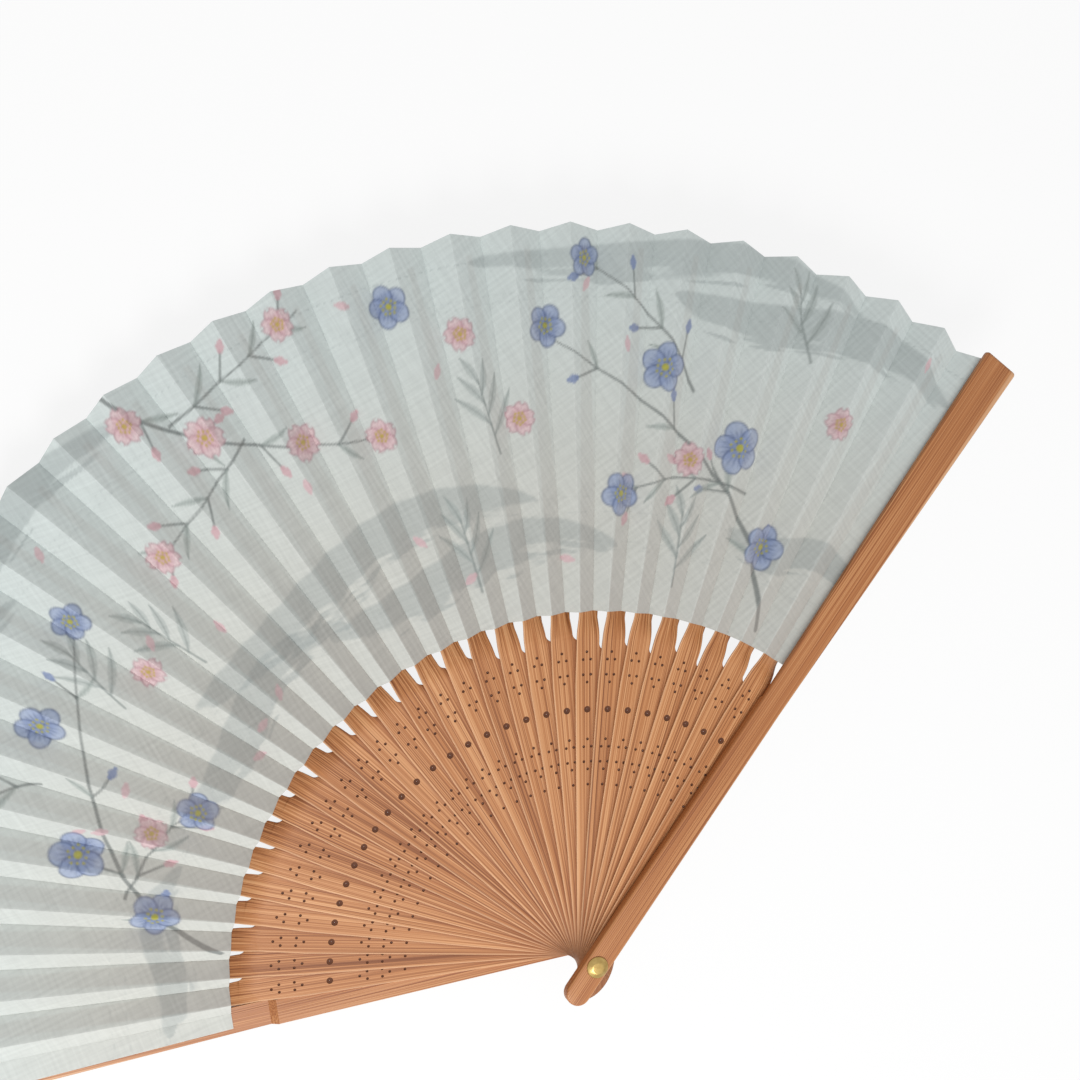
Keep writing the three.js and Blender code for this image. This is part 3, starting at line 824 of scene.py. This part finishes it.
# Where the print lies on the flat cloth. A place is its direction in degrees and its distance in mm, as for
# on_cloth. Mist: first and last direction, distance, width. Branches: start, bend and end, width, bud ink.
# Blossoms: place, size, turn. Sprays: place and the direction in which they lean.
BLUE_INKS = ("#9BA8C4", "#7988AE", "#48567A", "#AEAA3E")
PINK_INKS = ("#DDC2C4", "#CDA6AC", "#AC808A", "#B9A24C")
MIST_BANDS = [
    (50, 98, 113, 13), (62, 118, 126, 14), (94, 134, 114, 12), (14, 46, 180, 14), (26, 66, 189, 11),
    (100, 142, 189, 12), (118, 160, 178, 14), (11, 33, 122, 12), (140, 168, 112, 11),
]
BRANCHES = [
    ((22, 100), (31, 148), (60, 170), 1.5, BLUE_INKS[1]),
    ((32, 133), (42, 138), (50, 126), 0.9, PINK_INKS[1]),
    ((42, 156), (46, 176), (56, 190), 0.9, BLUE_INKS[1]),
    ((100, 197), (98, 172), (78, 152), 1.3, PINK_INKS[1]),
    ((97, 181), (90, 184), (82, 190), 0.8, PINK_INKS[1]),
    ((92, 168), (100, 160), (107, 158), 0.8, PINK_INKS[1]),
    ((154, 98), (147, 140), (117, 164), 1.5, BLUE_INKS[1]),
    ((146, 124), (136, 122), (129, 112), 0.9, PINK_INKS[1]),
    ((134, 152), (136, 166), (142, 173), 0.8, PINK_INKS[1]),
]
BLUE_BLOSSOMS = [
    (27, 121, 6.4, 0.3), (35, 144, 7.2, 1.1), (46, 161, 6.6, 0.7), (50, 127, 5.8, 0.2), (59, 171, 5.6, 0.5),
    (55, 188, 5.0, 0.9), (148, 116, 6.4, 0.6), (141, 138, 7.2, 0.1), (131, 113, 5.6, 1.0),
    (128, 158, 6.4, 0.4), (117, 165, 5.4, 0.8), (74, 183, 5.6, 0.3),
]
PINK_BLOSSOMS = [
    (100, 188, 5.0, 0.2), (95, 174, 5.6, 0.9), (87, 160, 5.0, 0.5), (79, 153, 4.4, 0.1), (106, 158, 4.8, 0.7),
    (84, 189, 4.4, 0.4), (41, 138, 4.6, 1.0), (68, 172, 4.4, 0.3), (142, 174, 4.8, 0.6), (136, 122, 4.4, 0.2),
    (63, 148, 4.4, 0.8), (117, 142, 4.6, 0.5), (24, 160, 4.6, 0.7),
]
LEAF_SPRAYS = [
    (73, 106, 74), (112, 132, 120), (122, 142, 104), (40, 104, 44), (66, 140, 76), (30, 172, 62),
]
LOOSE_PETALS = 26
LOOSE_PETAL_MM = 3.4


def cloth_colours(flat):
    """The dyed and printed colour of each point of the flat cloth, in linear numbers: a plain pale ground,
    a little warmer near the ribs, with sprays of blossom, slender leaves and bands of mist."""
    WARM_UP_TO = 115 * MM
    COOL_FROM = 195 * MM
    spots = flat / MM
    warm = 1 - eased(np.linalg.norm(flat, axis=1), WARM_UP_TO, COOL_FROM)
    colours = np.repeat([linear("#CFD7D5")[:3]], len(flat), axis=0)
    colours = lay_ink(colours, warm, "#CBCCC6", strength=1)
    for band in MIST_BANDS:
        colours = print_mist(spots, colours, *band)
    for spray in LEAF_SPRAYS:
        print_spray(spots, colours, *spray)
    for branch in BRANCHES:
        print_twigs(spots, colours, *branch)
    drift = np.random.default_rng(5)
    for _ in range(LOOSE_PETALS):
        base = on_cloth(drift.uniform(16, 160), drift.uniform(105, 190))
        tip = base + LOOSE_PETAL_MM * towards(drift.uniform(0, 2 * math.pi))
        print_stroke(spots, colours, base, (base + tip) / 2, tip, [0.8, 2.0, 2.2, 1.2], LOOSE_PETAL_INK,
                     strength=0.8)
    for turn_deg, radius, size, turn in PINK_BLOSSOMS:
        print_blossom(spots, colours, on_cloth(turn_deg, radius), size, turn, PINK_INKS, notch=0.16)
    for turn_deg, radius, size, turn in BLUE_BLOSSOMS:
        print_blossom(spots, colours, on_cloth(turn_deg, radius), size, turn, BLUE_INKS, notch=0)
    return colours


def cloth_panel(name, left, right, flat_left, flat_right, columns, rims, strip_reach=None):
    """A pleat's panel, ruled between two creases that end at their own rims, with its place on the flat
    cloth as a UV map. Over a strip, bamboo and glue show through the thin cloth as a faint warm band."""
    bm = bmesh.new()
    bmesh.ops.create_grid(bm, x_segments=columns, y_segments=ROWS, size=0.5)
    for edge in bm.edges:
        edge.smooth = not edge.is_boundary
    mesh = bpy.data.meshes.new(name)
    bm.to_mesh(mesh)
    bm.free()
    spots = np.empty(len(mesh.vertices) * 3, np.float32)
    mesh.vertices.foreach_get("co", spots)
    spots = spots.reshape(-1, 3).astype(float)
    across = 0.5 + spots[:, 0]
    rim = rims[0] + (rims[1] - rims[0]) * across
    radius = LEAF_INNER + (spots[:, 1] + 0.5) * (rim - LEAF_INNER)
    left_spots = radius[:, None] * left[1] + np.array([0, 0, left[0]])
    right_spots = radius[:, None] * right[1] + np.array([0, 0, right[0]])
    places = left_spots * (1 - across[:, None]) + right_spots * across[:, None]
    mesh.vertices.foreach_set("co", places.astype(np.float32).ravel())
    turn = math.pi / 2 + flat_total / 2 - (flat_left + (flat_right - flat_left) * across)
    flat = np.stack([radius * np.cos(turn), radius * np.sin(turn)], axis=1)
    corners = np.empty(len(mesh.loops), np.int32)
    mesh.loops.foreach_get("vertex_index", corners)
    flat_map = mesh.uv_layers.new(name="flat_cloth")
    flat_map.uv.foreach_set("vector", flat[corners].astype(np.float32).ravel())
    colours = cloth_colours(flat)
    if strip_reach:
        off_middle = (0.5 - across) * radius * (flat_right - flat_left)
        strip_ends = [LEAF_INNER, strip_tip]
        from_left = np.interp(radius, strip_ends, [LEAF_EDGE_LEFT, STRIP_TIP_HALF_WIDTH]) - off_middle
        from_right = np.interp(radius, strip_ends, [strip_reach, STRIP_TIP_HALF_WIDTH]) + off_middle
        within = np.minimum(np.minimum(from_left, from_right), strip_tip - radius)
        shown = np.interp(radius, [LEAF_INNER, LEAF_INNER + SHOW_THROUGH_REACH], SHOW_THROUGH_SHARES)
        shown = shown * eased(within, -SHOW_THROUGH_BLUR, SHOW_THROUGH_BLUR)
        colours = lay_ink(colours, shown, SHOW_THROUGH_TINT, strength=1)
    colours = np.concatenate([colours, np.ones((len(flat), 1))], axis=1)
    printed = mesh.color_attributes.new("print", "FLOAT_COLOR", "POINT")
    printed.data.foreach_set("color", colours.astype(np.float32).ravel())
    mesh.shade_smooth()
    mesh.update()
    piece = bpy.data.objects.new(name, mesh)
    bpy.context.scene.collection.objects.link(piece)
    inside = piece.vertex_groups.new(name="between_creases")
    between = np.flatnonzero((across > AT_CREASE) & (across < 1 - AT_CREASE))
    inside.add([int(i) for i in between], 1.0, "REPLACE")
    thickness = piece.modifiers.new("cloth", "SOLIDIFY")
    thickness.thickness = CLOTH_THICKNESS
    thickness.offset = 0
    thickness.vertex_group = inside.name
    thickness.thickness_vertex_group = PRESSED_CREASE
    thickness.material_offset = 1
    return piece


def cotton(name, print_share):
    """Thin dyed cotton in plain weave: crossing threads with thicker slubs among them, matt, with a faint
    fuzz. The print is full on its face and shows only in part on its back."""
    THREAD_MM = 0.8  # real threads are about 0.3 mm apart; they are drawn coarser, so that they show
    SLUB_LENGTH_MM = 14
    SLUB_WIDTH_MM = 0.9
    THINNEST = 0.6
    THICKEST = 1.4
    material, shader = new_material(name)
    place = add_node(material, "ShaderNodeUVMap", uv_map="flat_cloth").outputs["UV"]
    printed = add_node(material, "ShaderNodeAttribute", attribute_name="print").outputs["Color"]
    shown = add_node(material, "ShaderNodeMix", {
        "Factor": print_share, COLOUR_A: linear("#CDD2CE"), COLOUR_B: printed}, data_type="RGBA")
    wave_scale = 2 * math.pi / (WAVE_TURN * 2 * THREAD_MM * MM)
    threads = []
    slubs = []
    for direction, slub_mm in (("X", (SLUB_LENGTH_MM, SLUB_WIDTH_MM)),
                               ("Y", (SLUB_WIDTH_MM, SLUB_LENGTH_MM))):
        thread = add_node(material, "ShaderNodeTexWave", {
            "Vector": place, "Scale": wave_scale, "Distortion": 0.4}, bands_direction=direction)
        drawn_out = add_node(material, "ShaderNodeMapping", {
            "Vector": place, "Scale": (1 / (slub_mm[0] * MM), 1 / (slub_mm[1] * MM), 1)})
        slub = add_node(material, "ShaderNodeTexNoise", {
            "Vector": drawn_out.outputs["Vector"], "Scale": 1.0, "Detail": 2.0})
        threads.append(thread.outputs["Fac"])
        slubs.append(slub.outputs["Fac"])
    weave = add_node(material, "ShaderNodeMath", {0: threads[0], 1: threads[1]}, operation="ADD")
    yarn = add_node(material, "ShaderNodeMath", {0: slubs[0], 1: slubs[1]}, operation="ADD").outputs["Value"]
    tone = add_node(material, "ShaderNodeMapRange", {
        "Value": yarn, "From Min": THINNEST, "From Max": THICKEST, "To Min": 0.92, "To Max": 1.08})
    toned = add_node(material, "ShaderNodeVectorMath", {
        0: shown.outputs[MIXED_COLOUR], "Scale": tone.outputs["Result"]}, operation="SCALE")
    rough = add_node(material, "ShaderNodeMapRange", {
        "Value": yarn, "From Min": THINNEST, "From Max": THICKEST, "To Min": 0.92, "To Max": 0.78})
    relief = add_node(material, "ShaderNodeMath", {0: weave.outputs["Value"], 1: yarn}, operation="ADD")
    bump = add_node(material, "ShaderNodeBump", {
        "Height": relief.outputs["Value"], "Strength": 0.35, "Distance": 0.06 * MM})
    set_inputs(material, shader, {
        "Base Color": toned.outputs["Vector"], "Roughness": rough.outputs["Result"],
        "Normal": bump.outputs["Normal"], "Sheen Weight": 0.12, "Specular IOR Level": 0.3})
    return material


leaf_face = cotton("dyed_cotton_face", 1.0)
leaf_back = cotton("dyed_cotton_back", 0.4)
valley_rim = LEAF_RIM - VALLEY_SETBACK
panels = []
folds = []
for stick in range(FRONT_STICK + 1):
    left, right = crease_pairs[stick]
    panel = cloth_panel(f"leaf_panel_{stick:02d}", left, right, flat_starts[2 * stick],
                        flat_starts[2 * stick + 1], GLUED_COLUMNS, rims=(LEAF_RIM, valley_rim),
                        strip_reach=strip_right(stick) if 0 < stick < FRONT_STICK else None)
    panel.data.materials.append(leaf_face)
    panel.data.materials.append(leaf_back)
    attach(panel, f"stick_{stick:02d}")
    panels.append(panel)
    if stick == FRONT_STICK:
        continue
    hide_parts(f"leaf_pleat_{stick:02d}")
    peak = crease_pairs[stick + 1][0]
    fold = cloth_panel(f"leaf_fold_{stick:02d}", right, peak, flat_starts[2 * stick + 1],
                       flat_starts[2 * stick + 2], FREE_COLUMNS, rims=(valley_rim, LEAF_RIM))
    fold.data.materials.append(leaf_face)
    fold.data.materials.append(leaf_back)
    between = np.cross(right[1], peak[1])
    between /= between[2] * (peak[0] - right[0])
    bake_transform(fold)
    folds.append(fold)

# The real leaf is one sheet. For each glued panel, the free panel on its right is listed as its share of it.
for stick in range(1, RIB_COUNT + 1):
    carried = [folds[stick]]
    if stick == 1:
        carried += [panels[0], folds[0]]
    if stick == RIB_COUNT:
        carried.append(panels[FRONT_STICK])

# Stage
# A plain floor of white paper, just clear of the fan. An even white sky and one square softbox, up on the
# left of the handle, light it at a plain level.
FLOOR_HALF_SIZE = 3
FLOOR_DROP = 0.05 * MM
FLOOR_GLOW = 0.86
SKY_LIGHT = 0.49
KEY_DIRECTION = Vector((-0.66, -0.78, 1.3))
KEY_DISTANCE = 0.65
KEY_SIZE = 0.35
KEY_POWER = 3.0
LIT_MIDDLE = Vector((0, 0.1, 0.01))

floor_mesh = bpy.data.meshes.new("floor")
bm = bmesh.new()
bmesh.ops.create_grid(bm, x_segments=1, y_segments=1, size=FLOOR_HALF_SIZE)
bmesh.ops.translate(bm, verts=bm.verts[:], vec=(0, 0, cad_box[0].z - FLOOR_DROP))
bm.to_mesh(floor_mesh)
bm.free()
floor = bpy.data.objects.new("floor", floor_mesh)
bpy.context.scene.collection.objects.link(floor)


def shown_directly(owner):
    """1 for rays from the camera, off gloss and through glass, which show a plain white background."""
    rays = add_node(owner, "ShaderNodeLightPath").outputs
    shown = rays["Is Camera Ray"]
    for kind in ("Is Glossy Ray", "Is Transmission Ray"):
        either = add_node(owner, "ShaderNodeMath", {0: shown, 1: rays[kind]}, operation="MAXIMUM")
        shown = either.outputs["Value"]
    return shown


# White paper: it is lit like any floor, and shows the camera and mirror-like surfaces a paler, nearly
# white face.
floor_white, shader = new_material("white_paper")
set_inputs(floor_white, shader, {"Base Color": linear("#F7F7F7"), "Roughness": 0.9})
glow = add_node(floor_white, "ShaderNodeEmission")
share = add_node(floor_white, "ShaderNodeMath", {
    0: shown_directly(floor_white), 1: FLOOR_GLOW}, operation="MULTIPLY")
paper = add_node(floor_white, "ShaderNodeMixShader", {
    0: share.outputs["Value"], 1: shader.outputs["BSDF"], 2: glow.outputs["Emission"]})
output = floor_white.node_tree.nodes["Material Output"]
set_inputs(floor_white, output, {"Surface": paper.outputs["Shader"]})
floor.data.materials.append(floor_white)

world = bpy.data.worlds.new("studio")
bpy.context.scene.world = world
world.use_nodes = True
strength = add_node(world, "ShaderNodeMapRange", {
    "Value": shown_directly(world), "To Min": SKY_LIGHT, "To Max": 1.0})
set_inputs(world, world.node_tree.nodes["Background"], {
    "Color": (1, 1, 1, 1), "Strength": strength.outputs["Result"]})

key = bpy.data.objects.new("key", bpy.data.lights.new("key", "AREA"))
key.data.size = KEY_SIZE
key.data.energy = KEY_POWER
key.location = LIT_MIDDLE + KEY_DIRECTION.normalized() * KEY_DISTANCE
key.rotation_euler = (key.location - LIT_MIDDLE).to_track_quat("Z", "Y").to_euler()
bpy.context.scene.collection.objects.link(key)

# Camera
# The photograph's view, from a fit of the rim's folds, the ribs' holes and the guard's edges. It looks down
# from above the leaf and is turned, so that the front guard runs up to the right.
CAMERA_PLACE = Vector((-34.7, 214.6, 432.2)) * MM
CAMERA_TARGET = Vector((47.67, 104.36, 10)) * MM
IMAGE_UP = Vector((0.5336, 0.838, -0.1147))
LENS_MM = 55.74
SENSOR_MM = 36
NEAREST_SEEN = 0.01
camera = bpy.data.objects.new("camera", bpy.data.cameras.new("camera"))
back = (CAMERA_PLACE - CAMERA_TARGET).normalized()
right = IMAGE_UP.cross(back).normalized()
turn = Matrix((right, back.cross(right), back)).transposed()
camera.matrix_world = Matrix.Translation(CAMERA_PLACE) @ turn.to_4x4()
camera.data.lens = LENS_MM
camera.data.sensor_width = SENSOR_MM
camera.data.clip_start = NEAREST_SEEN
bpy.context.scene.collection.objects.link(camera)
bpy.context.scene.camera = camera

bpy.context.scene.view_settings.view_transform = "Standard"
bpy.context.view_layer.update()
